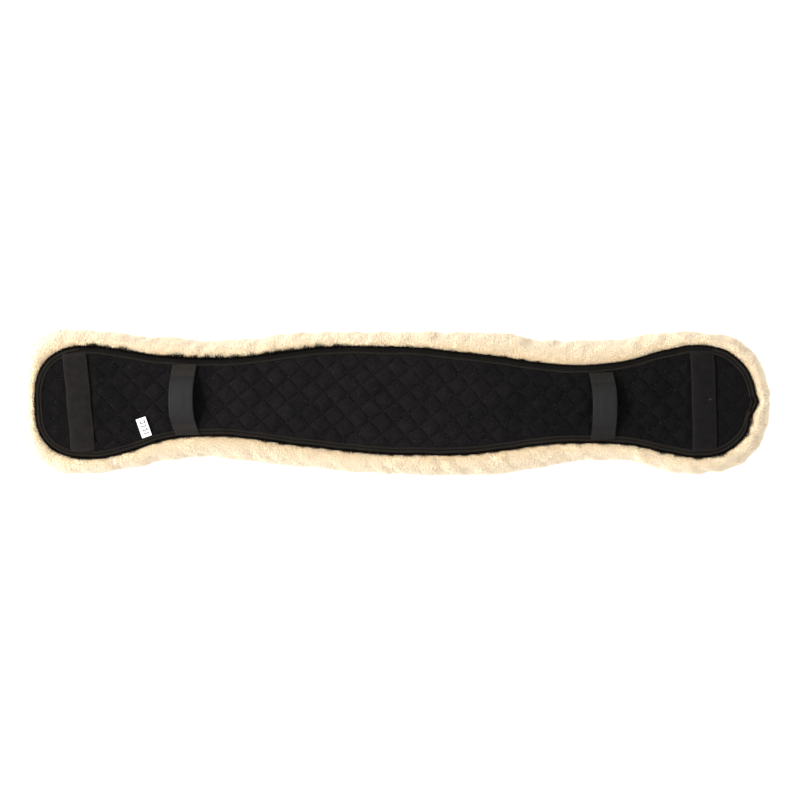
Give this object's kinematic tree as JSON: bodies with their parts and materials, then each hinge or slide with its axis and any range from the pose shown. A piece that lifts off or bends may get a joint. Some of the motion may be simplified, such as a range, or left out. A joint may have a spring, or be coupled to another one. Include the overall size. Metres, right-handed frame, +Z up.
{
  "type": "girth cover",
  "caption": "Fleece-lined cover for a saddle girth: a quilted, tape-bound pad with two webbing loops and a hook strip near each round end.",
  "frame": {"origin": "middle of the cover's length and width, on the surface that the fleece lies on", "axes": "+X along the cover, +Y across it, +Z up out of the quilted side"},
  "size_m": [0.776, 0.1484, 0.0385],
  "materials": {
    "fleece_pile": "thick cream plush pile",
    "lining_cloth": "plain thin lining cloth",
    "wadding": "soft polyester wadding",
    "quilt_cotton": "matte black cotton twill",
    "binding_tape": "black bias tape",
    "webbing": "ribbed dark grey webbing, slightly satin",
    "hook_tape": "brown-black woven hook tape",
    "label_tape": "white woven tape",
    "sewing_thread": "black sewing thread"
  },
  "bodies": {
    "cover": {"fleece_lining": "fleece_pile", "backing_cloth": "lining_cloth", "wadding_core": "wadding", "quilt_face": "quilt_cotton", "edge_binding": "binding_tape", "binding_thread": "sewing_thread", "quilting_thread_rising": "sewing_thread", "quilting_thread_falling": "sewing_thread", "loop_tacks_left": "sewing_thread", "loop_tacks_right": "sewing_thread", "hook_strip_left": "hook_tape", "hook_strip_right": "hook_tape", "hook_strip_thread_left": "sewing_thread", "hook_strip_thread_right": "sewing_thread", "label_thread": "sewing_thread"},
    "loop_left": {"loop_strap_left": "webbing"},
    "loop_right": {"loop_strap_right": "webbing"},
    "label": {"size_label": "label_tape"}
  },
  "joints": [
    {"name": "loop_left_lift", "type": "slide", "parent": "cover", "child": "loop_left", "axis": [0, 0, 1], "range_m": [-0.008, 0.006], "stiffness_N_per_m": 60, "deforming": ["loop_strap_left"]},
    {"name": "loop_right_lift", "type": "slide", "parent": "cover", "child": "loop_right", "axis": [0, 0, 1], "range_m": [-0.008, 0.006], "stiffness_N_per_m": 60, "deforming": ["loop_strap_right"]},
    {"name": "label_turn", "type": "hinge", "parent": "cover", "child": "label", "pos_m": [-0.2575, -0.0386, 0.0255], "axis": [0.9438, 0.3305, 0], "range_deg": [0, 160]}
  ]
}
